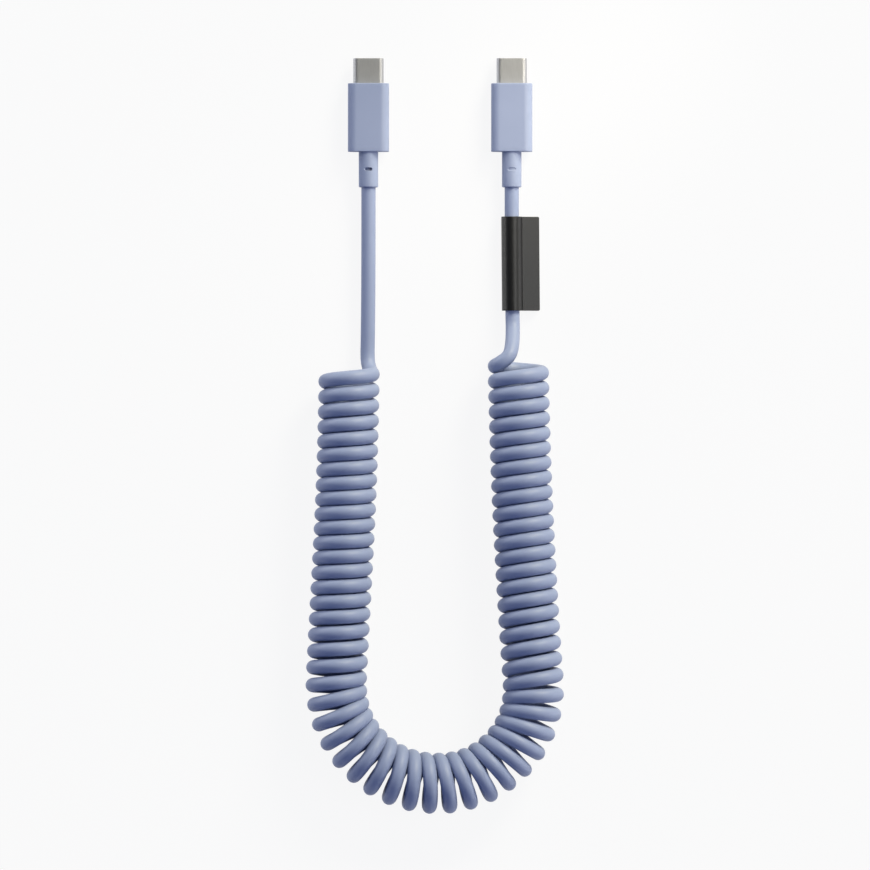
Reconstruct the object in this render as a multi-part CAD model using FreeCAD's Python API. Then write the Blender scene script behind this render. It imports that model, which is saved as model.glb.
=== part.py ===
import FreeCAD, Part
import math
import os

os.makedirs("parts", exist_ok=True)
Vector = FreeCAD.Vector

# A coiled USB-C cable that lies flat: X across the two plugs, Y along them towards their tips, Z up.
# The origin is on the floor below the middle of the two plugs. Sizes are in millimetres.

# Metal shell of a plug
shell_width = 8.25
shell_height = 2.40
shell_wall = 0.25
shell_exposed = 6.85
shell_buried = 4.50
shell_lip = 0.10

# Insulating housing in the shell, with the cavity that takes the socket's tongue
housing_setback = 0.30
housing_tail = 0.60
housing_side_wall = 0.175
housing_roof = 0.10
cavity_depth = 5.40
cavity_height = 1.10

# Contacts, numbered 1 to 12 across a row
contact_places = 12
upper_contacts = (1, 4, 5, 6, 7, 9, 12)
lower_contacts = (1, 4, 5, 9, 12)
contact_row_margin = 0.175
contact_width = 0.24
contact_thickness = 0.15
contact_tail = 1.20
contact_reach = 3.30
contact_rise = 0.80
contact_gap = 0.60
contact_nose = 0.70
contact_lift = 0.20
slot_clearance = 0.03

# Latch spring at the sides of the cavity
latch_thickness = 0.20
latch_width = 0.30
latch_base = 0.90
latch_hook = 0.40
latch_hook_length = 0.90
latch_setback = 1.00

# Ground springs at the roof and floor of the mouth
ground_thickness = 0.10
ground_margin = 0.30
ground_length = 1.60
ground_setback = 0.40
ground_rim = 0.20
ground_finger_width = 1.50
ground_finger_places = (-1.40, 1.40)
ground_finger_dip = 0.40

# Paddle card with its marker chip and wires
card_side_gap = 0.60
card_length = 5.00
card_thickness = 0.80
chip_size = 1.60
chip_height = 0.45
chip_setback = 1.60
wire_width = 0.56
wire_sides = 6
wire_overlap = 1.20
upper_wires = (-0.65, 0.0, 0.65)
lower_wires = (-0.40, 0.40)

# Shield can, in two halves, from the shell's root to the boot, and the braided core that enters it
can_wall = 0.20
can_headroom = 0.25
can_setback = 3.00
core_diameter = 2.30
core_reach = 2.60

# Moulded body: its reach beyond the shell at the sides and above, and its length and edges
body_side = 1.475
body_cover = 1.90
body_length = 18.60
body_edge_radius = 2.30
body_end_bevel = 0.20

# Boot round the cord, with its root in the body and a small slot in its upper side
boot_wall = 0.70
boot_length = 9.70
boot_root = 2.60
boot_end_bevel = 0.25
boot_slot_length = 2.00
boot_slot_width = 0.90
boot_slot_depth = 0.55
boot_slot_setback = 4.80

# Cord, its coiled stretch and the place of the plugs
cord_diameter = 3.90
coil_diameter = 16.70
plug_pitch = 39.00
run_share = 0.45

# Tag: one strip folded round lead B and bonded to itself as a flap
tag_sheet = 0.70
tag_clearance = 0.20
tag_flap_reach = 7.65
tag_length = 25.60
tag_crease_radius = 0.50
tag_corner_radius = 0.40
tag_middle_y = -38.35
tag_floor_gap = 0.25

# Places along a plug, from the front face of its body at 0
housing_width = shell_width - 2 * shell_wall
housing_height = shell_height - 2 * shell_wall
housing_front = shell_exposed - housing_setback
housing_rear = -shell_buried - housing_tail
cavity_back = housing_front - cavity_depth
card_rear = housing_rear - card_length
can_front = -can_setback
boot_face = -body_length
boot_end = boot_face - boot_length
root_front = boot_face + boot_root
can_rear = root_front
core_front = root_front + core_reach

# Sizes that follow from the ones above
latch_reach = housing_width / 2 - housing_side_wall
cavity_width = 2 * (latch_reach - latch_width)
body_width = shell_width + 2 * body_side
body_height = shell_height + 2 * body_cover
can_width = shell_width + 2 * can_wall
can_height = max(shell_height, core_diameter) + 2 * can_headroom + 2 * can_wall
boot_diameter = cord_diameter + 2 * boot_wall
plug_length = shell_exposed - boot_end
plug_front = plug_length / 2 - shell_exposed
plug_axis_z = body_height / 2
plug_x = plug_pitch / 2

# Routes of the leads from the boots to just past the ends of the coil, which then trims them
lead_a_points = [
    (-plug_x, -plug_length / 2, plug_axis_z),
    (-plug_x, -43.0, plug_axis_z),
    (-19.6, -68.0, 4.7),
]
lead_b_points = [
    (plug_x, -plug_length / 2, plug_axis_z),
    (plug_x, -57.0, plug_axis_z),
    (19.75, -66.5, 8.1),
]

# Middle line of the coil, down one leg, round the bend and up the other
coil_points = [
    (-24.7, -66.6),
    (-28.6, -162.6),
    (-13.0, -179.0),
    (9.8, -179.6),
    (25.6, -163.2),
    (21.2, -65.1),
]


def rounded_bar(width, height, radius, rear, front):
    """A bar along Y with rounded edges; a radius of half its height makes it obround."""
    radius = min(radius, width / 2, height / 2)
    edges = []
    ends = []
    for corner, (side, level) in enumerate(((1, 1), (-1, 1), (-1, -1), (1, -1))):
        centre = Vector(side * (width / 2 - radius), rear, level * (height / 2 - radius))
        angles = [math.radians(90 * corner + turn) for turn in (0, 45, 90)]
        arc = [centre + Vector(radius * math.cos(a), 0, radius * math.sin(a)) for a in angles]
        edges.append(Part.Arc(*arc).toShape())
        ends.append((arc[0], arc[2]))
    for corner in range(4):
        leave, arrive = ends[corner][1], ends[(corner + 1) % 4][0]
        if (arrive - leave).Length > 1e-6:
            edges.append(Part.LineSegment(leave, arrive).toShape())
    outline = Part.Wire(Part.__sortEdges__(edges))
    return Part.Face(outline).extrude(Vector(0, front - rear, 0))


def obround_bar(width, height, rear, front):
    return rounded_bar(width, height, height / 2, rear, front)


def round_bar(diameter, rear, front, x=0.0, z=0.0):
    return Part.makeCylinder(diameter / 2, front - rear, Vector(x, rear, z), Vector(0, 1, 0))


def block(x, width, rear, front, bottom, top):
    """A box that is centred on x."""
    corner = Vector(x - width / 2, rear, bottom)
    return Part.makeBox(width, front - rear, top - bottom, corner)


def prism(points, bottom, top):
    """A flat plate with the outline of some (x, y) points."""
    corners = [Vector(x, y, bottom) for x, y in points]
    outline = Part.makePolygon(corners + corners[:1])
    return Part.Face(outline).extrude(Vector(0, 0, top - bottom))


def bent_strip(path, thickness, x, width):
    """A strip of sheet metal centred on x, bent along the (y, z) points of its middle line."""
    points = [Vector(x - width / 2, y, z) for y, z in path]
    across = Vector(1, 0, 0)
    normals = [across.cross(b - a).normalize() for a, b in zip(points, points[1:])]
    one_side, other_side = [], []
    for place, point in enumerate(points):
        before = normals[max(place - 1, 0)]
        after = normals[min(place, len(normals) - 1)]
        mitre = (before + after) * (thickness / 2 / (1 + before.dot(after)))
        one_side.append(point + mitre)
        other_side.append(point - mitre)
    outline = Part.makePolygon(one_side + other_side[::-1] + one_side[:1])
    return Part.Face(outline).extrude(Vector(width, 0, 0))


def flipped(shape):
    """The same piece on the other face of the plug, turned half round the plug's axis."""
    return shape.rotated(Vector(0, 0, 0), Vector(0, 1, 0), 180)


def edges_at(shape, y):
    """The edges of a shape that lie in the plane across the plug at y."""
    found = []
    for edge in shape.Edges:
        places = [vertex.Y for vertex in edge.Vertexes] + [edge.CenterOfMass.y]
        if max(abs(place - y) for place in places) < 1e-6:
            found.append(edge)
    return found


def edges_along(shape, direction, x):
    """The straight edges of a shape along a direction, with their middle at x."""
    found = []
    for edge in shape.Edges:
        span = edge.Vertexes[-1].Point - edge.Vertexes[0].Point
        straight = abs(span.Length - edge.Length) < 1e-6 and span.cross(direction).Length < 1e-6
        if straight and abs(edge.CenterOfMass.x - x) < 1e-4:
            found.append(edge)
    return found


def shell():
    tube = obround_bar(shell_width, shell_height, -shell_buried, shell_exposed)
    tube = tube.makeChamfer(min(shell_lip, 0.5 * shell_wall), edges_at(tube, shell_exposed))
    return tube.cut(obround_bar(housing_width, housing_height, -shell_buried, shell_exposed))


def contact_path():
    """Middle line of an upper contact: tail on the card, rise into the roof, dip to the tongue."""
    tail_z = card_thickness / 2 + contact_thickness / 2
    arm_z = channel_roof() - slot_clearance - contact_thickness / 2
    point_z = contact_gap / 2 + contact_thickness / 2
    tip_y = cavity_back + contact_reach
    return [
        (housing_rear - contact_tail, tail_z),
        (cavity_back, tail_z),
        (cavity_back + contact_rise, arm_z),
        (tip_y - contact_nose, point_z),
        (tip_y, point_z + contact_lift),
    ]


def channel_roof():
    return housing_height / 2 - housing_roof


def contact_x(number):
    pitch = (housing_width - housing_height - 2 * contact_row_margin) / (contact_places - 1)
    return (number - (contact_places + 1) / 2) * pitch


def contact_row(numbers):
    path = contact_path()
    return [bent_strip(path, contact_thickness, contact_x(n), contact_width) for n in numbers]


def contact_channels(numbers):
    """The grooves in the housing that the contacts of one row lie and flex in."""
    front = cavity_back + contact_reach + slot_clearance
    width = contact_width + 2 * slot_clearance
    bottom = card_thickness / 2
    return [block(contact_x(n), width, housing_rear, front, bottom, channel_roof()) for n in numbers]


def latch_outline(clearance):
    """A flat fork whose two arms run along the cavity and end in hooks that point inwards."""
    arm_out = latch_reach + clearance
    arm_in = cavity_width / 2
    tip = housing_front - latch_setback
    base = housing_rear + latch_base + clearance
    hook = arm_in - latch_hook
    right = [
        (arm_out, housing_rear),
        (arm_out, tip + clearance),
        (arm_in, tip + clearance),
        (hook, tip - latch_hook_length / 3),
        (hook, tip - latch_hook_length / 2),
        (arm_in, tip - latch_hook_length),
        (arm_in, base),
    ]
    return right + [(-x, y) for x, y in right[::-1]]


def latch_spring():
    return prism(latch_outline(0.0), -latch_thickness / 2, latch_thickness / 2)


def ground_plate_width():
    return housing_width - housing_height - 2 * ground_margin


def ground_front():
    return housing_front - ground_setback


def ground_windows(bottom, top):
    """The openings in front of and below the fingers of one ground spring."""
    rear = ground_front() - ground_length + ground_rim
    front = ground_front() - ground_rim
    return [block(x, ground_finger_width, rear, front, bottom, top) for x in ground_finger_places]


def ground_spring():
    """A thin plate between the housing and the shell, with two fingers bent into the mouth."""
    top = housing_height / 2
    bottom = top - ground_thickness
    middle = top - ground_thickness / 2
    front = ground_front()
    plate = block(0, ground_plate_width(), front - ground_length, front, bottom, top)
    plate = plate.cut(ground_windows(bottom, top))
    hinge = front - ground_length + ground_rim
    free = ground_length - 2 * ground_rim
    path = [
        (hinge - ground_rim / 2, middle),
        (hinge + 0.1 * free, middle),
        (hinge + 0.6 * free, middle - ground_finger_dip),
        (hinge + 0.85 * free, middle - 0.8 * ground_finger_dip),
    ]
    width = ground_finger_width - 2 * slot_clearance
    fingers = [bent_strip(path, ground_thickness, x, width) for x in ground_finger_places]
    return plate.fuse(fingers).removeSplitter()


def housing():
    body = obround_bar(housing_width, housing_height, housing_rear, housing_front)
    half_height = cavity_height / 2
    cavity = block(0, cavity_width, cavity_back, housing_front, -half_height, half_height)
    top = housing_height / 2
    recess_floor = top - ground_thickness
    recess_width = ground_plate_width()
    recess = block(0, recess_width, ground_front() - ground_length, ground_front(), recess_floor, top)
    upper = contact_channels(upper_contacts) + [recess] + ground_windows(0, top)
    lower = contact_channels(lower_contacts) + [recess] + ground_windows(0, top)
    room = latch_thickness / 2 + slot_clearance
    latch_room = prism(latch_outline(slot_clearance), -room, room)
    return body.cut([cavity, latch_room] + upper + [flipped(cutter) for cutter in lower])


def paddle_card():
    width = shell_width - 2 * card_side_gap
    return block(0, width, card_rear, housing_rear, -card_thickness / 2, card_thickness / 2)


def marker_chip():
    front = housing_rear - chip_setback
    top = card_thickness / 2 + chip_height
    return block(0, chip_size, front - chip_size, front, card_thickness / 2, top)


def wire(x, z):
    """One thin wire as a bar of a few flat sides, with a flat side on the card."""
    radius = wire_width / 2 / math.cos(math.pi / wire_sides)
    turns = [2 * math.pi * (side + 0.5) / wire_sides for side in range(wire_sides + 1)]
    corners = [Vector(x + radius * math.cos(t), core_front, z + radius * math.sin(t)) for t in turns]
    outline = Part.Face(Part.makePolygon(corners))
    return outline.extrude(Vector(0, card_rear + wire_overlap - core_front, 0))


def wires():
    """Insulated wires from the core's end, soldered flat to both faces of the card."""
    level = card_thickness / 2 + wire_width / 2
    upper = [wire(x, level) for x in upper_wires]
    lower = [wire(x, -level) for x in lower_wires]
    return Part.makeCompound(upper + lower)


def can_case():
    """The outside of the shield can."""
    return block(0, can_width, can_rear, can_front, -can_height / 2, can_height / 2)


def shield_can_half():
    """The upper half of the can: sheet walls, open over the shell's root, with a hole for the core."""
    roof = can_height / 2 - can_wall
    room = block(0, can_width - 2 * can_wall, can_rear + can_wall, can_front, -roof, roof)
    throat = round_bar(core_diameter, can_rear, can_rear + can_wall)
    upper_space = block(0, can_width, can_rear, can_front, 0, can_height)
    return can_case().cut([room, throat]).common(upper_space)


def body():
    """The moulding round the can, the shell's root and the boot's root, with its long edges rounded."""
    case = rounded_bar(body_width, body_height, body_edge_radius, boot_face, 0)
    case = case.makeChamfer(body_end_bevel, edges_at(case, 0) + edges_at(case, boot_face))
    shell_space = obround_bar(shell_width, shell_height, -shell_buried, 0)
    boot_space = round_bar(boot_diameter, boot_face, root_front)
    return case.cut([can_case(), shell_space, boot_space])


def boot():
    sleeve = round_bar(boot_diameter, boot_end, root_front)
    sleeve = sleeve.makeChamfer(min(boot_end_bevel, 0.5 * boot_wall), edges_at(sleeve, boot_end))
    slot = rounded_bar(boot_slot_length, boot_slot_width, boot_slot_width / 2, 0, boot_diameter)
    slot = slot.rotated(Vector(0, 0, 0), Vector(1, 0, 0), 90)
    slot.translate(Vector(0, boot_face - boot_slot_setback, boot_diameter / 2 - boot_slot_depth))
    return sleeve.cut([round_bar(cord_diameter, boot_end, root_front), slot])


def cord_end():
    return round_bar(cord_diameter, boot_end, root_front)


def braided_core():
    return round_bar(core_diameter, root_front, core_front)


def tag():
    """A strip wrapped round the cord, its two leaves bonded into a flap that points to +X."""
    bore_radius = cord_diameter / 2 + tag_clearance
    outer_radius = bore_radius + tag_sheet
    rear, front = -tag_length / 2, tag_length / 2
    wrap = round_bar(2 * outer_radius, rear, front)
    flap = block(tag_flap_reach / 2, tag_flap_reach, rear, front, -tag_sheet, tag_sheet)
    flap = flap.makeFillet(tag_corner_radius, edges_along(flap, Vector(0, 0, 1), tag_flap_reach))
    strip = wrap.fuse(flap).removeSplitter()
    crease_x = math.sqrt(outer_radius ** 2 - tag_sheet ** 2)
    strip = strip.makeFillet(tag_crease_radius, edges_along(strip, Vector(0, 1, 0), crease_x))
    return strip.cut(round_bar(2 * bore_radius, rear, front))


def tag_droop():
    """How far the flap hangs down round the cord, in degrees, with its edge just above the floor."""
    drop = (plug_axis_z - tag_floor_gap) / math.hypot(tag_flap_reach, tag_sheet)
    return math.degrees(math.asin(min(drop, 1.0)) - math.atan2(tag_sheet, tag_flap_reach))


def tag_placement():
    """The straight run of lead B that carries the tag, as a place and a direction."""
    start, end = Vector(*lead_b_points[0]), Vector(*lead_b_points[1])
    share = (tag_middle_y - start.y) / (end.y - start.y)
    along = FreeCAD.Rotation(Vector(0, 1, 0), start - end)
    droop = FreeCAD.Rotation(Vector(0, 1, 0), tag_droop())
    return FreeCAD.Placement(start + (end - start) * share, along.multiply(droop))


def cord_tube(name, points, diameter):
    """A tube along straight runs joined by the largest arcs that the runs leave room for."""
    points = [Vector(*p) for p in points]
    edges = []
    radii = []
    start = points[0]
    for before, corner, after in zip(points, points[1:], points[2:]):
        into = (corner - before).normalize()
        out = (after - corner).normalize()
        half_turn = into.getAngle(out) / 2
        reach = run_share * min((corner - before).Length, (after - corner).Length)
        radius = reach / math.tan(half_turn)
        inward = (out - into).normalize()
        middle = corner + inward * (radius / math.cos(half_turn) - radius)
        arc_start, arc_end = corner - into * reach, corner + out * reach
        edges.append(Part.LineSegment(start, arc_start).toShape())
        edges.append(Part.Arc(arc_start, middle, arc_end).toShape())
        radii.append(round(radius, 1))
        start = arc_end
    edges.append(Part.LineSegment(start, points[-1]).toShape())
    path = Part.Wire(edges)
    section = Part.Wire(Part.makeCircle(diameter / 2, points[0], (points[1] - points[0]).normalize()))
    tube = path.makePipeShell([section], True, False)
    expected = math.pi * diameter ** 2 / 4 * path.Length
    print(name, "radii", radii, "length", round(path.Length, 1))
    print(name, "volume over section times length", round(tube.Volume / expected, 4))
    return tube


def plug(letter, chip):
    """All the pieces of one plug, named for it, in the plug's own frame."""
    can_half = shield_can_half()
    spring = ground_spring()
    pieces = {
        "shell": shell(),
        "housing": housing(),
        "contacts_upper": Part.makeCompound(contact_row(upper_contacts)),
        "contacts_lower": Part.makeCompound([flipped(c) for c in contact_row(lower_contacts)]),
        "latch_spring": latch_spring(),
        "ground_spring_upper": spring,
        "ground_spring_lower": flipped(spring),
        "paddle_card": paddle_card(),
        "wires": wires(),
        "shield_can_upper": can_half,
        "shield_can_lower": flipped(can_half),
        "braided_core": braided_core(),
        "body": body(),
        "boot": boot(),
        "cord_end": cord_end(),
    }
    if chip:
        pieces["marker_chip"] = marker_chip()
    return {f"plug_{letter}_{name}": shape for name, shape in pieces.items()}


nodes = {}
for letter, x, chip in (("a", -plug_x, True), ("b", plug_x, False)):
    for name, shape in plug(letter, chip).items():
        shape.translate(Vector(x, plug_front, plug_axis_z))
        nodes[name] = shape

coil_height = coil_diameter / 2
coil = cord_tube("cord_coil", [(x, y, coil_height) for x, y in coil_points], coil_diameter)
nodes["cord_coil"] = coil
nodes["cord_lead_a"] = cord_tube("cord_lead_a", lead_a_points, cord_diameter).cut(coil)
nodes["cord_lead_b"] = cord_tube("cord_lead_b", lead_b_points, cord_diameter).cut(coil)

nodes["tag"] = tag()
nodes["tag"].Placement = tag_placement()

for name, shape in nodes.items():
    shape.exportStep(f"parts/{name}.step")
print(len(nodes), "nodes")
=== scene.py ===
import bpy
import math
import numpy as np
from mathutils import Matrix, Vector


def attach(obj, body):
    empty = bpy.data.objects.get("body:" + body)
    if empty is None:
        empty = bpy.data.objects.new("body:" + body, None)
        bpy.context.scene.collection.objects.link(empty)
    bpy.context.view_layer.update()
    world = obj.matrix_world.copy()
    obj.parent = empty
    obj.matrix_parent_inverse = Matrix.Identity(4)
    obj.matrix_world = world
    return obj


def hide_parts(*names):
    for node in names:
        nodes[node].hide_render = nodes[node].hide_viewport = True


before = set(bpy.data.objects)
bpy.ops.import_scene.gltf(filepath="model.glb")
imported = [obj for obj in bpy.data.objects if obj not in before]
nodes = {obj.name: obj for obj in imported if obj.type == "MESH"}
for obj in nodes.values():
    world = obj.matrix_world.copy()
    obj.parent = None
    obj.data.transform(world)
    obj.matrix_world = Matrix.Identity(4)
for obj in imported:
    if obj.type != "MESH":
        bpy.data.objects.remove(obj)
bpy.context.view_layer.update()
mmPerMetre = 1000.0
quarterTurn = np.pi / 2
print("frame loaded,", len(nodes), "nodes")


class Sock:
    # a socket that takes + - * with numbers or other sockets; each one adds a Math node
    def __init__(self, tree, out=None):
        self.tree = tree
        self.out = out

    def node(self, kind, settings=None, take=0, **values):
        # any node: its settings first, then the values or links of its sockets, by name or by number as in0;
        # take is the output that goes on from it, by name or by number
        made = self.tree.nodes.new(kind)
        for key, value in (settings or {}).items():
            if key == "stops":
                ramp = made.color_ramp.elements
                while len(ramp) < len(value):
                    ramp.new(0.5)
                for element, (place, colour) in zip(ramp, value):
                    element.position = place
                    element.color = (*colour, 1.0)
            elif key == "steps":
                made.color_ramp.interpolation = value
            else:
                setattr(made, key, value)
        for key, value in values.items():
            numbered = key[:2] == "in" and key[2:].isdigit()
            entry = made.inputs[int(key[2:]) if numbered else key]
            if isinstance(value, Sock):
                self.tree.links.new(value.out, entry)
            else:
                entry.default_value = value
        return Sock(self.tree, made.outputs[take] if len(made.outputs) else None)

    def maths(self, operation, one, two=0.0):
        return self.node("ShaderNodeMath", {"operation": operation}, in0=one, in1=two)

    def __add__(self, other):
        return self.maths("ADD", self, other)

    def __radd__(self, other):
        return self.maths("ADD", other, self)

    def __sub__(self, other):
        return self.maths("SUBTRACT", self, other)

    def __rsub__(self, other):
        return self.maths("SUBTRACT", other, self)

    def __mul__(self, other):
        return self.maths("MULTIPLY", self, other)

    def __rmul__(self, other):
        return self.maths("MULTIPLY", other, self)


def linear(red, green, blue):
    # a colour as a screen shows it (0 to 255), turned into the shader's own scale
    share = np.array([red, green, blue]) / 255.0
    return tuple(np.where(share <= 0.04045, share / 12.92, ((share + 0.055) / 1.055) ** 2.4).tolist())


def newMaterial(name, settings):
    # a new material with a Principled shader; settings are constant values of its sockets
    material = bpy.data.materials.new(name)
    material.use_nodes = True
    tree = material.node_tree
    shader = tree.nodes["Principled BSDF"]
    for key, value in settings.items():
        shader.inputs[key].default_value = value
    return material, Sock(tree), shader


def feed(maker, shader, entry, value):
    maker.tree.links.new(value.out, shader.inputs[entry])


def mixColour(maker, share, one, two):
    # from colour one at share 0 to colour two at share 1; these numbers are a Mix node's colour sockets
    one, two = (value if isinstance(value, Sock) else (*value, 1.0) for value in (one, two))
    return maker.node("ShaderNodeMix", {"data_type": "RGBA"}, take=2, Factor=share, in6=one, in7=two)


def cloud(maker, size, detail=3.0, stretch=(1.0, 1.0, 1.0)):
    # soft noise with spots of about this size in metres; a stretch below 1 draws them out along that axis
    place = maker.node("ShaderNodeTexCoord", take="Object")
    drawn = maker.node("ShaderNodeMapping", Vector=place, Scale=stretch)
    return maker.node("ShaderNodeTexNoise", Vector=drawn, Scale=1.0 / size, Detail=detail)


def addGrain(maker, shader, look, grain):
    # a grain that moves the gloss between two values, and the bump
    low, high = look["roughness"]
    feed(maker, shader, "Roughness", grain * (high - low) + low)
    bump = maker.node("ShaderNodeBump", Strength=look["grainStrength"], Distance=look["grainDepth"],
                      Height=grain)
    feed(maker, shader, "Normal", bump)


def satinPlastic(name, look):
    # two close tones in clouds, and a fine grain
    material, maker, shader = newMaterial(name, {"Specular IOR Level": look["shine"]})
    clouds = cloud(maker, look["cloudSize"])
    grain = cloud(maker, look["grainSize"], detail=2.0)
    tone = mixColour(maker, clouds, linear(*look["dark"]), linear(*look["pale"]))
    if "hollow" in look:  # a piece may mark its sunken parts; there a painted shade is mixed in, so they are darker
        sunk = maker.node("ShaderNodeAttribute", {"attribute_name": "hollow"}, take=2)
        tone = mixColour(maker, sunk, tone, linear(*look["hollow"]))
    feed(maker, shader, "Base Color", tone)
    addGrain(maker, shader, look, grain)
    return material


def platedMetal(name, look):
    # a plated sheet: drawn-out streaks that move its tone and are its grain too
    material, maker, shader = newMaterial(name, {"Metallic": 1.0})
    streaks = cloud(maker, look["grainSize"], stretch=look["stretch"])
    feed(maker, shader, "Base Color", mixColour(maker, streaks, linear(*look["dark"]), linear(*look["pale"])))
    addGrain(maker, shader, look, streaks)
    return material


def dress(material, *names):
    for name in names:
        nodes[name].data.materials.clear()
        nodes[name].data.materials.append(material)


def gridSkin(name, grid):
    # a closed skin: each row of the grid is a ring, each ring joins the next, and the last joins the first
    rows, columns = grid.shape[:2]
    here = np.arange(rows * columns).reshape(rows, columns)
    right = np.roll(here, -1, axis=1)
    below, belowRight = np.roll(here, -1, axis=0), np.roll(right, -1, axis=0)
    quads = np.stack([here, right, belowRight, below], axis=-1).reshape(-1, 4)
    points = grid.reshape(-1, 3)
    one, two, three, four = (points[quads[:, k]] for k in range(4))
    volume = (one * np.cross(two, three)).sum() + (one * np.cross(three, four)).sum()
    if volume < 0:  # the rings ran the other way, so the faces are turned outwards
        quads = quads[:, ::-1]
    mesh = bpy.data.meshes.new(name)
    mesh.from_pydata(points.tolist(), [], quads.tolist())
    mesh.polygons.foreach_set("use_smooth", np.ones(len(quads), dtype=bool))
    mesh.update()
    return mesh


def addPiece(name, mesh, material, slot, *standsFor):
    mesh.materials.append(material)
    piece = bpy.data.objects.new(name, mesh)
    bpy.context.collection.objects.link(piece)
    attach(piece, "root")
    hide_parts(*standsFor)
    return piece


def splineFrom(name, points, resolution):
    # a smooth line that has the points as its control points
    curve = bpy.data.curves.new(name, "CURVE")
    curve.dimensions = "3D"
    curve.resolution_u = resolution
    spline = curve.splines.new("NURBS")
    spline.points.add(len(points) - 1)
    flat = np.column_stack([points, np.ones(len(points))])
    spline.points.foreach_set("co", flat.ravel())
    spline.order_u = 3  # three points shape each stretch
    spline.use_endpoint_u = True
    return curve


def readLine(curve):
    # the points that a curve without thickness passes through, in order
    holder = bpy.data.objects.new("lineHolder", curve)
    mesh = bpy.data.meshes.new_from_object(holder)
    line = np.empty(len(mesh.vertices) * 3)
    mesh.vertices.foreach_get("co", line)
    bpy.data.objects.remove(holder)
    bpy.data.meshes.remove(mesh)
    return line.reshape(-1, 3)


# the cord: two leads and a coil of sixty turns, in one line from boot to boot (metres)
cordPlan = {
    "diameter": 0.0039,
    "leadA": [(-0.0195, -0.017575, 0.0031), (-0.0195, -0.0430, 0.0031), (-0.0197, -0.0600, 0.0031),
              (-0.0198, -0.0652, 0.0034), (-0.0188, -0.0680, 0.0055)],
    "leadB": [(0.0161, -0.0656, 0.0104), (0.0190, -0.0636, 0.0104), (0.0197, -0.0598, 0.0072),
              (0.0198, -0.0560, 0.0037), (0.0197, -0.0525, 0.0031), (0.0196, -0.0430, 0.0031),
              (0.0195, -0.0270, 0.0031), (0.0195, -0.017575, 0.0031)],
    "axis": [(-0.0247, -0.0666), (-0.0250, -0.0920), (-0.0275, -0.1380), (-0.02885, -0.1629),
             (-0.0132, -0.17925), (0.0100, -0.1800), (0.02625, -0.1635), (0.0242, -0.1380),
             (0.0217, -0.0920), (0.0212, -0.0651)],
    "axisHeight": 0.00835,
    "turns": 60,
    "turnRadius": 0.0064,
    "pointsPerTurn": 16,
    "firstAndLast": (0.007, 0.996),  # shares of the axis between which it winds
    # share of the axis and the distance from turn to turn there in mm, scaled later so that the turns fit
    "pitch": [(0.0, 4.35), (0.05, 4.10), (0.10, 3.95), (0.20, 4.03), (0.25, 4.15), (0.29, 4.45),
              (0.34, 4.40), (0.40, 4.60), (0.50, 4.60), (0.58, 4.70), (0.63, 4.45), (0.67, 4.55),
              (0.72, 4.35), (0.77, 4.10), (0.85, 3.97), (0.92, 4.03), (1.0, 4.20)],
    # share of the axis and how far the top of a turn leans along the cord there, in mm
    "lean": [(0.0, 0.0), (0.30, 0.1), (0.38, 0.7), (0.46, 1.1), (0.54, 1.1), (0.62, 0.6), (0.70, 0.2),
             (1.0, 0.0)],
    "lineSteps": 3, "roundSteps": 9,  # how finely the line and its round section are drawn
}

jacketLook = {
    "dark": (137, 148, 178), "pale": (146, 157, 186), "cloudSize": 0.012,
    "grainSize": 0.00016, "grainStrength": 0.12, "grainDepth": 0.00002,
    "roughness": (0.44, 0.58), "shine": 0.5,
}


def coilLine(plan):
    # a helix: axis point + radius * (cos of the turn * inward side + sin of the turn * up), where the
    # turn grows with the distance along the axis divided by the pitch
    axisSteps, pitchSteps = 64, 6001  # fine enough that no step shows
    flatAxis = np.array(plan["axis"])
    control = np.column_stack([flatAxis, np.full(len(flatAxis), plan["axisHeight"])])
    line = readLine(splineFrom("coilAxis", control, axisSteps))
    run = np.concatenate([[0.0], np.cumsum(np.linalg.norm(np.diff(line, axis=0), axis=1))])
    share = np.linspace(*plan["firstAndLast"], pitchSteps)
    pitch = np.interp(share, *np.transpose(plan["pitch"]))
    turn = np.concatenate([[0.0], np.cumsum(1.0 / (pitch[1:] + pitch[:-1]))])
    turn *= plan["turns"] / turn[-1]
    count = plan["turns"] * plan["pointsPerTurn"] + 1
    wanted = np.linspace(0.0, plan["turns"], count)
    place = np.interp(wanted, turn, share)
    angle = 2.0 * np.pi * wanted
    lean = np.interp(place, *np.transpose(plan["lean"])) / mmPerMetre
    along = place * run[-1] + lean * np.sin(angle)
    centre = np.column_stack([np.interp(along, run, line[:, k]) for k in range(3)])
    slope = np.gradient(line, axis=0)
    ahead = np.column_stack([np.interp(along, run, slope[:, k]) for k in range(3)])
    ahead /= np.linalg.norm(ahead, axis=1)[:, None]
    inward = np.column_stack([-ahead[:, 1], ahead[:, 0], np.zeros(count)])
    # the line passes inside its control points, so these lie a little farther out than the turns
    radius = plan["turnRadius"] / math.cos(math.pi / plan["pointsPerTurn"])
    up = np.array([0.0, 0.0, 1.0])
    return centre + radius * (np.cos(angle)[:, None] * inward + np.sin(angle)[:, None] * up)


def makeCord(plan):
    # one round line, with lead A, the turns and lead B as its control points
    points = np.vstack([plan["leadA"], coilLine(plan), plan["leadB"]])
    curve = splineFrom("cord", points, plan["lineSteps"])
    line = readLine(curve)
    length = float(np.linalg.norm(np.diff(line, axis=0), axis=1).sum())
    curve.bevel_depth = plan["diameter"] / 2
    curve.bevel_resolution = plan["roundSteps"]
    curve.use_fill_caps = True
    print("cord made,", round(length, 3), "m,", len(points), "points")
    return curve, length


jacket = satinPlastic("satinJacket", jacketLook)
cordCurve, cordLength = makeCord(cordPlan)
cord = addPiece("cord", cordCurve, jacket, "jacket", "cord_lead_a", "cord_coil", "cord_lead_b")
dress(jacket, "plug_a_cord_end", "plug_b_cord_end")

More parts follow.
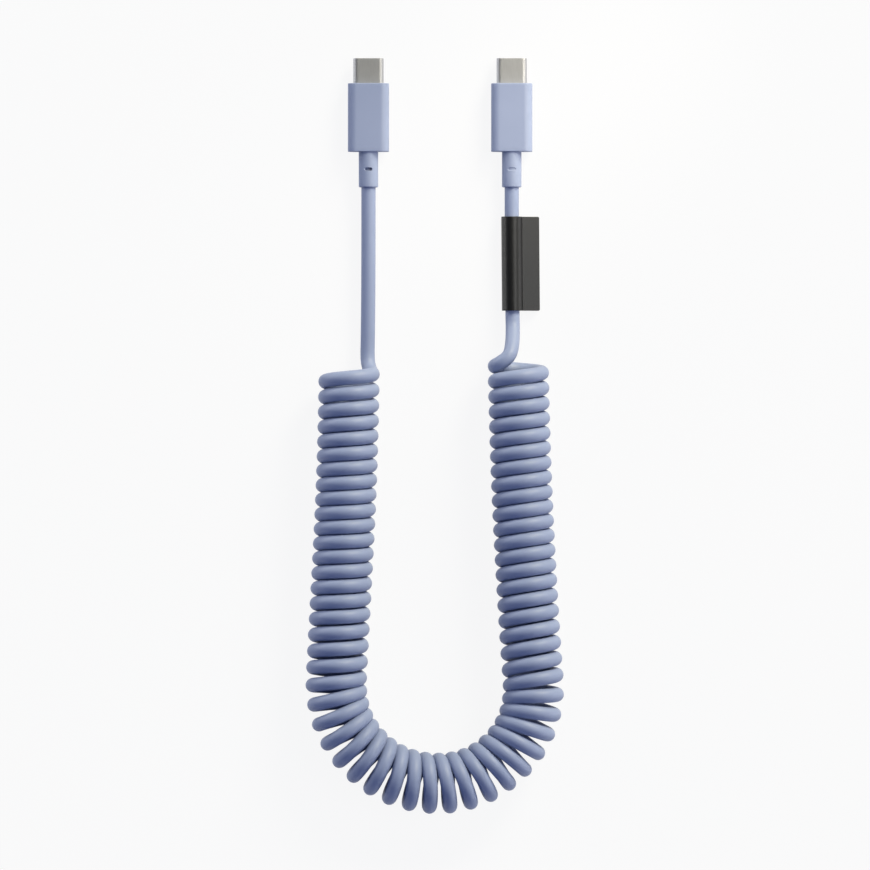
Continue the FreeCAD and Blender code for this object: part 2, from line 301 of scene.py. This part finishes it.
# the plugs, in millimetres from the middle of each body's front face
plugPlan = {
    "places": {"a": (-19.5, 10.725, 3.1), "b": (19.5, 10.725, 3.1)},
    "shellWidth": 8.25, "shellHeight": 2.40, "shellWall": 0.25, "shellLip": 0.11,
    "shellFront": 6.85, "shellRear": -4.5,
    "bodyWidth": 11.2, "bodyHeight": 6.2, "bodyLength": 18.6, "bodyEdge": 2.30, "bodyEndEdge": 0.20,
    "canWidth": 8.65, "canHeight": 3.30, "canCorner": 0.05, "canFront": -3.0,
    "bootDiameter": 5.3, "bootLength": 9.7, "bootRoot": 2.6, "bootEndEdge": 0.30, "boreDiameter": 3.9,
    "slotLength": 2.10, "slotWidth": 0.85, "slotSetback": 4.8, "slotDepth": {"a": 0.55, "b": 0.20},
    "slotRim": (0.04, 0.09),  # how far outside the slot its rim starts, and how wide the rim is
    "slotPaintedShade": {"a": (0.25, 0.95), "b": (0.03, 0.08)},  # how dark the painted shade on its floor is at the left and at the right
    "slotPaintedShadeAt": (-0.5, 0.8),  # where those two are reached, from the slot's middle
    "roundSlack": 0.01,  # what a round side lacks of a half circle, so that its flat stretch never vanishes
}

mouldingLook = {
    "dark": (143, 154, 182), "pale": (151, 161, 188), "cloudSize": 0.008,
    "grainSize": 0.00020, "grainStrength": 0.20, "grainDepth": 0.00002,
    # hollow is the colour of the painted shade mixed into sunken parts, the boot's slot
    "roughness": (0.46, 0.60), "shine": 0.5, "hollow": (48, 54, 84),
}

shellLook = {
    "dark": (173, 174, 179), "pale": (191, 192, 197), "grainSize": 0.00022, "stretch": (1.0, 0.12, 1.0),
    "grainStrength": 0.25, "grainDepth": 0.00001, "roughness": (0.50, 0.64),
}


def quarterArc(points):
    return np.linspace(0.0, quarterTurn, points)


def roundedRings(width, height, radius):
    # rectangles with rounded corners, one ring per value: corner centre + radius * (cos, sin), and on each
    # flat stretch a few points between the corners, the outer ones close to its ends
    sizes = (width, height, radius)
    width, height, radius = (np.asarray(size, dtype=float)[:, None, None] for size in sizes)
    turn = np.arange(4)[:, None] * quarterTurn + quarterArc(13)[None, :]
    sideX = np.array([1.0, -1.0, -1.0, 1.0])[None, :, None]
    sideZ = np.array([1.0, 1.0, -1.0, -1.0])[None, :, None]
    x = sideX * (width / 2 - radius) + radius * np.cos(turn)[None]
    z = sideZ * (height / 2 - radius) + radius * np.sin(turn)[None]
    corners = np.stack([x, z], axis=-1)
    leave = corners[:, :, -1:]
    arrive = np.roll(corners[:, :, :1], -1, axis=1)
    share = np.array([0.03, 0.25, 0.5, 0.75, 0.97])[None, None, :, None]
    rings = np.concatenate([corners, leave + share * (arrive - leave)], axis=2)
    return rings.reshape(len(rings), -1, 2)


def placeRings(rings, along, place):
    # rings of (x, z) points set along y and moved to the piece's place, from millimetres to metres
    y = np.broadcast_to(np.asarray(along, dtype=float)[:, None], rings.shape[:2])
    return (np.stack([rings[..., 0], y, rings[..., 1]], axis=-1) + np.array(place)) / mmPerMetre


def makeShell(letter, plan):
    # a flat oval tube: the outline is drawn in by the wall's profile, out along the outside, round the lip
    # on two quarter circles and back along the inside
    turn = quarterArc(7)
    lip, wall, front, rear = (plan["shell" + part] for part in ("Lip", "Wall", "Front", "Rear"))
    inner = wall - lip
    midway, nearLip = 3.0, front - 0.6  # rings on the straight stretch
    outside, inside = [rear, 0.0, midway, nearLip], [nearLip, 0.0, rear]
    inset = np.concatenate([np.zeros(len(outside)), lip * (1 - np.cos(turn)), lip + inner * np.sin(turn[1:]),
                            np.full(len(inside), wall)])
    reach = np.concatenate([outside, front - lip + lip * np.sin(turn), front - inner * (1 - np.cos(turn[1:])),
                            inside])
    rings = roundedRings(plan["shellWidth"] - 2 * inset, plan["shellHeight"] - 2 * inset,
                         plan["shellHeight"] / 2 - plan["roundSlack"] - inset)
    return gridSkin("shell_" + letter, placeRings(rings, reach, plan["places"][letter]))


def makeBody(letter, plan):
    # the moulded grip: rounded rectangles along the outside with rounded ends, then the front face down to
    # the shell's outline, the space for the can, the boot's hole and the rear face
    turn = quarterArc(6)
    edge, length, slack = plan["bodyEndEdge"], plan["bodyLength"], plan["roundSlack"]
    root = plan["bootRoot"] - length
    nearEnd = 1.0  # rings on the straight stretch
    frontInset, rearInset = edge + 0.15, edge + 0.1  # rings on the two faces, beside their outer edges
    rim, mouth = 0.1, 0.05  # rings round a hole and just inside it
    inset = np.concatenate([edge * (1 - np.sin(turn)), np.zeros(3), edge * (1 - np.cos(turn)), [frontInset]])
    reach = np.concatenate([-length + edge * (1 - np.cos(turn)), [nearEnd - length, -length / 2, -nearEnd],
                            -edge + edge * np.sin(turn), [0.0]])
    shellW, shellH, boot = plan["shellWidth"], plan["shellHeight"], plan["bootDiameter"]
    shellRound, bootRound = shellH / 2 - slack, boot / 2 - slack
    can = (plan["canWidth"], plan["canHeight"], plan["canCorner"])
    inside = np.array([  # width, height, corner radius, place along the plug
        (shellW + 2 * rim, shellH + 2 * rim, shellRound + rim - slack, 0.0),
        (shellW, shellH, shellRound, -mouth),
        (shellW, shellH, shellRound, plan["canFront"]),
        (*can, plan["canFront"]),
        (*can, root),
        (boot, boot, bootRound, root),
        (boot, boot, bootRound, mouth - length),
        (boot + 2 * rim, boot + 2 * rim, bootRound + rim - slack, -length),
    ])
    outer = np.array([plan["bodyWidth"], plan["bodyHeight"], plan["bodyEdge"]])
    drawIn = np.array([2.0, 2.0, 1.0])  # an inset counts twice in a width and once in a radius
    sizes = np.vstack([outer - inset[:, None] * drawIn, inside[:, :3], outer - rearInset * drawIn])
    along = np.concatenate([reach, inside[:, 3], [-length]])
    return gridSkin("body_" + letter, placeRings(roundedRings(*sizes.T), along, plan["places"][letter]))


def makeBoot(letter, plan):
    # a sleeve: circles along the outside, a rounded end, and the bore back to the root; the radius is less by
    # the slot's depth inside an oval whose rim is a smooth step, and its floor gets a painted shade
    outer, bore, edge = plan["bootDiameter"] / 2, plan["boreDiameter"] / 2, plan["bootEndEdge"]
    face = -plan["bodyLength"]
    root, end, slotY = face + plan["bootRoot"], face - plan["bootLength"], face - plan["slotSetback"]
    turn = quarterArc(7)
    closeLength, closeAngle = 0.8, 0.6  # each way from the slot's middle the grid is fine, in mm and radians
    closeRows, closeColumns, wideColumns = 49, 81, 60
    plainRows = [root, face + 0.3, face - 1.0, face - 3.0]  # from the root to the slot
    slotRows = slotY + np.linspace(closeLength, -closeLength, closeRows)
    afterSlot, inBore = slotY - 2.0, end + 0.3
    endRim, boreRim = 0.1, 0.05  # rings on the end face, beside its two edges
    straight = np.concatenate([plainRows, slotRows, [afterSlot]])
    along = np.concatenate([straight, end + edge * (1 - np.sin(turn)), [end, end, inBore, root]])
    radius = np.concatenate([np.full(len(straight), outer), outer - edge * (1 - np.cos(turn)),
                             [outer - edge - endRim, bore + boreRim, bore, bore]])
    angle = np.concatenate([np.linspace(-closeAngle, closeAngle, closeColumns),
                            np.linspace(closeAngle, 2 * np.pi - closeAngle, wideColumns)[1:-1]])
    across = outer * np.sin(angle)[None, :]
    half = plan["slotWidth"] / 2
    flat = plan["slotLength"] / 2 - half
    gap = np.hypot(np.maximum(np.abs(across) - flat, 0.0), along[:, None] - slotY) - half
    rimStart, rimWidth = plan["slotRim"]
    step = np.clip((rimStart - gap) / rimWidth, 0.0, 1.0)
    onTop = np.cos(angle)[None, :] > 0.0
    sunk = step * step * (3 - 2 * step) * onTop
    size = radius[:, None] - plan["slotDepth"][letter] * sunk
    rings = np.stack([size * np.sin(angle)[None, :], size * np.cos(angle)[None, :]], axis=-1)
    mesh = gridSkin("boot_" + letter, placeRings(rings, along, plan["places"][letter]))
    # the hollow mark is a painted shade on the slot's floor, darker towards its right end
    hollow = mesh.attributes.new("hollow", "FLOAT", "POINT")
    paintedShade = np.interp(across, plan["slotPaintedShadeAt"], plan["slotPaintedShade"][letter])
    hollow.data.foreach_set("value", (sunk * paintedShade).ravel())
    return mesh


moulding = satinPlastic("satinMoulding", mouldingLook)
plugSteel = platedMetal("satinNickel", shellLook)
for letter in "ab":
    plug = "plug_" + letter + "_"
    addPiece("plug_shell_" + letter, makeShell(letter, plugPlan), plugSteel, "plug_steel", plug + "shell")
    addPiece("plug_grip_" + letter, makeBody(letter, plugPlan), moulding, "moulding", plug + "body")
    addPiece("plug_boot_" + letter, makeBoot(letter, plugPlan), moulding, "moulding", plug + "boot")
print("plugs made")

# the tag: one strip folded round lead B, its two leaves bonded into a flap (millimetres)
tagPlan = {
    "middle": (19.58, -38.35, 3.1), "length": 25.60,
    "drift": 0.20,  # how far its low end lies to the right of its high end
    "sheet": 0.70,  # thickness of the strip
    "bore": 2.15, "reach": 7.65,  # from the cord's axis to the strip and to the flap's edge
    "crease": 0.10, "edge": 0.06, "leafEdge": 0.12, "corner": 0.40,  # radii of its roundings
    "cornerStart": 3.2,  # from here out to its edge the flap is drawn in at its corners
    "seam": [(0.10, 0.0), (0.02, 0.05), (0.0, 0.10)],  # how deep the seam is, at heights from the middle
    "droop": 16.5,  # degrees that the flap hangs down round the cord
}

tagLook = {
    "dark": (13, 13, 15), "pale": (18, 18, 20), "cloudSize": 0.004,
    "grainSize": 0.00025, "grainStrength": 0.20, "grainDepth": 0.00002,
    "roughness": (0.36, 0.46), "shine": 0.56,
}


def tagOutline(plan):
    # the upper half from the seam at the flap's edge: over the leaf's edge, along the leaf, round the crease
    # on a small hollow arc and over the cord on a circle; the lower half is its mirror image
    sheet, reach, crease, leaf = plan["sheet"], plan["reach"], plan["crease"], plan["leafEdge"]
    wrap = plan["bore"] + sheet
    hollowX = math.sqrt((wrap + crease) ** 2 - (sheet + crease) ** 2)
    start = math.atan2(sheet + crease, hollowX)
    seamDepth, seamHeight = np.transpose(plan["seam"])
    edgeTurn = quarterArc(7)
    clear = 0.2  # the leaf's points keep this far from the arcs at its ends
    leafPoints, hollowPoints, overPoints = 8, 8, 44
    leafX = np.linspace(reach - leaf - clear, hollowX + clear, leafPoints)
    hollow = np.linspace(-quarterTurn, start - np.pi, hollowPoints)
    over = np.linspace(start, np.pi, overPoints)[1:]
    x = np.concatenate([reach - seamDepth, reach - leaf * (1 - np.cos(edgeTurn)), leafX,
                        hollowX + crease * np.cos(hollow), wrap * np.cos(over)])
    z = np.concatenate([seamHeight, sheet - leaf * (1 - np.sin(edgeTurn)), np.full(len(leafX), sheet),
                        sheet + crease + crease * np.sin(hollow), wrap * np.sin(over)])
    return np.concatenate([np.column_stack([x, z]), np.column_stack([x[-2:0:-1], -z[-2:0:-1]])])


def makeTag(plan):
    # the outline carried along y: drawn in a little on a quarter circle at each end, with the flap's corners
    # rounded, then across each end face to the bore; every ring keeps the outline's own angles
    outline = tagOutline(plan)
    ahead = np.roll(outline, -1, axis=0) - np.roll(outline, 1, axis=0)
    inward = np.column_stack([-ahead[:, 1], ahead[:, 0]])
    inward /= np.linalg.norm(inward, axis=1)[:, None]
    angle = np.arctan2(outline[:, 1], outline[:, 0])
    bore = plan["bore"] * np.column_stack([np.cos(angle), np.sin(angle)])
    half, edge, corner = plan["length"] / 2, plan["edge"], plan["corner"]
    turn = quarterArc(5)[::-1]
    cornerRows = corner * np.array([0.35, 0.55, 0.8, 1.0])
    middleRows = [half / 2, 0.0, -half / 2]
    end = np.concatenate([half - edge + edge * np.sin(turn), half - cornerRows])
    endInset = np.concatenate([edge * (1 - np.cos(turn)), np.zeros(len(cornerRows))])
    along = np.concatenate([end, middleRows, -end[::-1]])
    inset = np.concatenate([endInset, np.zeros(len(middleRows)), endInset[::-1]])
    rings = outline[None] + inset[:, None, None] * inward[None]
    # a round corner is drawn in by its radius less the root of (radius squared less distance squared)
    distance = np.maximum(np.abs(along) - half + corner, 0.0)
    cut = corner - np.sqrt(np.maximum(corner ** 2 - distance ** 2, 0.0))
    start, reach = plan["cornerStart"], plan["reach"]
    rings[..., 0] -= np.clip((rings[..., 0] - start) / (reach - start), 0.0, 1.0) * cut[:, None]
    nearEdge, nearBore, inBore = 0.06, 1.03, 0.05  # rings on an end face beside its edges, and in the bore
    first, last = rings[0], rings[-1]
    rings = np.concatenate([rings, np.stack([
        last + nearEdge * (bore - last), bore * nearBore, bore,
        bore, bore * nearBore, first + nearEdge * (bore - first)])])
    along = np.concatenate([along, [-half, -half, inBore - half, half - inBore, half, half]])
    droop = math.radians(plan["droop"])
    rings = rings @ np.array([[math.cos(droop), -math.sin(droop)], [math.sin(droop), math.cos(droop)]])
    grid = placeRings(rings, along, plan["middle"])
    grid[..., 0] -= plan["drift"] / mmPerMetre * along[:, None] / plan["length"]
    return gridSkin("tag", grid)


tag = addPiece("tag_strip", makeTag(tagPlan), satinPlastic("satinStrip", tagLook), "tag", "tag")
print("tag made")

# what is inside the plugs and shows only at their mouths, or not at all
insideLooks = {
    "insulator": {"dark": (38, 38, 40), "pale": (48, 48, 50), "cloudSize": 0.001, "grainSize": 0.00008,
                  "grainStrength": 0.3, "grainDepth": 0.00001, "roughness": (0.45, 0.65), "shine": 0.4},
    "chip": {"dark": (30, 30, 32), "pale": (40, 40, 42), "cloudSize": 0.0004, "grainSize": 0.00006,
             "grainStrength": 0.4, "grainDepth": 0.00001, "roughness": (0.5, 0.7), "shine": 0.4},
    "gold": {"dark": (214, 168, 92), "pale": (240, 204, 132), "grainSize": 0.00010,
             "stretch": (1.0, 0.2, 1.0), "grainStrength": 0.15, "grainDepth": 0.000005,
             "roughness": (0.22, 0.38)},
    "spring": {"dark": (180, 180, 182), "pale": (208, 208, 208), "grainSize": 0.00012,
               "stretch": (1.0, 0.15, 1.0), "grainStrength": 0.2, "grainDepth": 0.000005,
               "roughness": (0.28, 0.42)},
    "tin": {"dark": (176, 178, 182), "pale": (212, 213, 214), "grainSize": 0.0006, "stretch": (1.0, 1.0, 1.0),
            "grainStrength": 0.2, "grainDepth": 0.00001, "roughness": (0.35, 0.55)},
    "board": {"dark": (20, 78, 46), "pale": (40, 118, 66), "trackScale": 420.0, "trackBend": 0.6,
              "roughness": 0.35},
    "wires": {"sleeves": [(172, 38, 34), (226, 226, 222), (44, 128, 70), (44, 44, 46), (52, 84, 160)],
              "spread": 1.0 / 600.0,  # metres across a plug that the sleeves' colours share
              "dust": (120, 120, 120), "dustSize": 0.0004, "dustShare": 0.2, "roughness": 0.4},
    "braid": {"dark": (140, 136, 130), "pale": (222, 219, 214), "strandScale": 900.0, "strandSlant": 0.6,
              "strandStrength": 0.6, "strandDepth": 0.00004, "roughness": 0.4},
}


def boardMaterial(look):
    # green lacquer with darker stripes beside the copper tracks that run under it
    material, maker, shader = newMaterial("boardLacquer", {"Roughness": look["roughness"]})
    place = maker.node("ShaderNodeTexCoord", take="Object")
    tracks = maker.node("ShaderNodeTexWave", {"bands_direction": "X"}, Vector=place,
                        Scale=look["trackScale"], Distortion=look["trackBend"])
    feed(maker, shader, "Base Color", mixColour(maker, tracks, linear(*look["dark"]), linear(*look["pale"])))
    return material


def wireMaterial(look, plugMiddle):
    # each wire has its own colour, by how far it lies from the middle of its plug
    material, maker, shader = newMaterial("wireSleeves", {"Roughness": look["roughness"]})
    place = maker.node("ShaderNodeTexCoord", take="Object")
    across = maker.node("ShaderNodeSeparateXYZ", take="X", Vector=place)
    local = (maker.maths("ABSOLUTE", across) - plugMiddle) * (1.0 / look["spread"]) + 0.5
    share = 1.0 / len(look["sleeves"])
    stops = [(k * share, linear(*colour)) for k, colour in enumerate(look["sleeves"])]
    sleeve = maker.node("ShaderNodeValToRGB", {"steps": "CONSTANT", "stops": stops}, Fac=local)
    dust = cloud(maker, look["dustSize"]) * look["dustShare"]
    feed(maker, shader, "Base Color", mixColour(maker, dust, sleeve, linear(*look["dust"])))
    return material


def braidMaterial(look):
    # tinned strands that cross: two slanting sets of bands
    material, maker, shader = newMaterial("tinnedBraid", {"Metallic": 1.0, "Roughness": look["roughness"]})
    place = maker.node("ShaderNodeTexCoord", take="Object")
    bands = []
    for slant in (look["strandSlant"], -look["strandSlant"]):
        way = maker.node("ShaderNodeMapping", Vector=place, Rotation=(0.0, 0.0, slant))
        bands.append(maker.node("ShaderNodeTexWave", {"bands_direction": "Y"}, Vector=way,
                                Scale=look["strandScale"]))
    weave = maker.maths("MAXIMUM", *bands)
    feed(maker, shader, "Base Color", mixColour(maker, weave, linear(*look["dark"]), linear(*look["pale"])))
    bump = maker.node("ShaderNodeBump", Strength=look["strandStrength"], Distance=look["strandDepth"],
                      Height=weave)
    feed(maker, shader, "Normal", bump)
    return material


insulator = satinPlastic("mouthInsulator", insideLooks["insulator"])
contactGold = platedMetal("contactGold", insideLooks["gold"])
springSteel = platedMetal("springSteel", insideLooks["spring"])
shieldTin = platedMetal("shieldTin", insideLooks["tin"])
board = boardMaterial(insideLooks["board"])
wireSleeves = wireMaterial(insideLooks["wires"], plugPlan["places"]["b"][0] / mmPerMetre)
braid = braidMaterial(insideLooks["braid"])
dress(satinPlastic("chipResin", insideLooks["chip"]), "plug_a_marker_chip")
for letter in "ab":
    plug = "plug_" + letter + "_"
    dress(insulator, plug + "housing")
    dress(contactGold, plug + "contacts_upper", plug + "contacts_lower")
    dress(springSteel, plug + "latch_spring", plug + "ground_spring_upper", plug + "ground_spring_lower")
    dress(shieldTin, plug + "shield_can_upper", plug + "shield_can_lower")
    dress(board, plug + "paddle_card")
    dress(wireSleeves, plug + "wires")
    dress(braid, plug + "braided_core")
print("inner pieces dressed")

# the studio: a pale floor that looks white to the camera and keeps a soft shadow, five lamps and a dim room
studio = {
    "floorSize": 12.0, "floorColour": (0.68, 0.68, 0.68),
    "floorWhite": 0.91,  # how much of the floor is plain white to the camera and in mirrors
    "lamps": {  # watts, tint, place, size, the spot that it faces and how wide it shines in degrees
        "keyPanel": (24.6, (1.0, 0.95, 0.73), (0.715, 1.061, 0.680), (0.45, 0.60), (0.0, -0.08, 0.0), 180),
        "overPanel": (4.3, (1.0, 1.0, 1.0), (0.870, -0.040, 1.215), (0.60, 0.60), (0.0, -0.04, 0.0), 180),
        "leftPanel": (9.0, (1.0, 1.0, 0.97), (-1.267, 0.665, 0.170), (1.60, 0.32), (0.0, -0.08, 0.0), 180),
        "rightPanel": (4.6, (1.0, 0.98, 0.94), (1.340, -0.580, 0.190), (1.60, 0.36), (0.0, -0.08, 0.0), 180),
        "nearPanel": (0.0118, (1.0, 0.92, 0.74), (0.078, 0.043, 0.080), (0.05, 0.08),
                      (0.02, -0.004, 0.003), 54),
    },
    "roomLow": 0.9,  # how bright the room is at the horizon, where it is white
    "roomHigh": 0.05, "roomTint": (0.62, 0.76, 1.0),  # and how bright and of what tint it is overhead
    "roomBand": (0.04, 0.34),  # sines of the heights between which the room darkens
    "roomGlow": ((0.048, 0.085, 0.28), (0.115, 0.150, 0.25)),  # what its near and far side give dull surfaces
    "viewMiddle": (-0.00139, -0.0850), "viewHeight": 2.5, "viewEnd": 20.0, "sensor": 36.0,
    "viewWidth": 0.2366, "viewLevel": 0.006,  # the width that is seen, and the height at which it is
}


def addLamp(name, power, tint, place, size, aim, spread):
    lamp = bpy.data.lights.new(name, "AREA")
    lamp.energy = power
    lamp.color = tint
    lamp.shape = "RECTANGLE"
    lamp.size, lamp.size_y = size
    lamp.spread = math.radians(spread)
    holder = bpy.data.objects.new(name, lamp)
    holder.location = place
    holder.rotation_euler = (Vector(aim) - Vector(place)).to_track_quat("-Z", "Y").to_euler()
    bpy.context.collection.objects.link(holder)


def seenRays(maker):
    # 1 on rays from the camera, and on those that a mirror or a clear surface sends on
    camera, mirrored, clear = (maker.node("ShaderNodeLightPath", take="Is " + kind + " Ray")
                               for kind in ("Camera", "Glossy", "Transmission"))
    return camera + (mirrored + clear)


def makeFloor(plan):
    # paper that takes shadows, mixed with plain white where the camera sees it
    half = plan["floorSize"] / 2
    mesh = bpy.data.meshes.new("floor")
    corners = [(-half, -half, 0), (half, -half, 0), (half, half, 0), (-half, half, 0)]
    mesh.from_pydata(corners, [], [(0, 1, 2, 3)])
    floor = bpy.data.objects.new("floor", mesh)
    bpy.context.collection.objects.link(floor)
    material = bpy.data.materials.new("paleFloor")
    material.use_nodes = True
    material.node_tree.nodes.clear()
    maker = Sock(material.node_tree)
    paper = maker.node("ShaderNodeBsdfDiffuse", Color=(*plan["floorColour"], 1))
    glow = maker.node("ShaderNodeEmission", Color=(1, 1, 1, 1), Strength=1.0)
    white = seenRays(maker) * plan["floorWhite"]
    mixed = maker.node("ShaderNodeMixShader", in0=white, in1=paper, in2=glow)
    maker.node("ShaderNodeOutputMaterial", Surface=mixed)
    mesh.materials.append(material)


def makeRoom(plan):
    # to the camera and in mirrors it is white at the horizon and dim overhead; dull surfaces get its glow,
    # which changes from the near side to the far side
    world = bpy.data.worlds.new("room")
    bpy.context.scene.world = world
    world.use_nodes = True
    world.node_tree.nodes.clear()
    maker = Sock(world.node_tree)
    way = maker.node("ShaderNodeTexCoord", take="Generated")
    height = maker.node("ShaderNodeSeparateXYZ", take="Z", Vector=way)
    low, high = plan["roomBand"]
    rise = maker.node("ShaderNodeMapRange", {"interpolation_type": "SMOOTHSTEP"}, in0=height, in1=low,
                      in2=high, in3=0.0, in4=1.0)
    overhead = tuple(plan["roomHigh"] * part for part in plan["roomTint"])
    backdrop = mixColour(maker, rise, (plan["roomLow"],) * 3, overhead)
    away = maker.node("ShaderNodeSeparateXYZ", take="Y", Vector=way)  # -1 on the near side, 1 on the far side
    glow = mixColour(maker, away * 0.5 + 0.5, *plan["roomGlow"])
    colour = mixColour(maker, seenRays(maker), glow, backdrop)
    light = maker.node("ShaderNodeBackground", Color=colour, Strength=1.0)
    maker.node("ShaderNodeOutputWorld", Surface=light)


def makeCamera(plan):
    # it looks straight down
    camera = bpy.data.cameras.new("camera")
    camera.sensor_width = plan["sensor"]
    camera.lens = plan["sensor"] * (plan["viewHeight"] - plan["viewLevel"]) / plan["viewWidth"]
    camera.clip_end = plan["viewEnd"]
    holder = bpy.data.objects.new("camera", camera)
    holder.location = (*plan["viewMiddle"], plan["viewHeight"])
    bpy.context.collection.objects.link(holder)
    bpy.context.scene.camera = holder


makeFloor(studio)
makeRoom(studio)
for name, facts in studio["lamps"].items():
    addLamp(name, *facts)
makeCamera(studio)
bpy.context.scene.view_settings.view_transform = "Standard"
print("studio set")
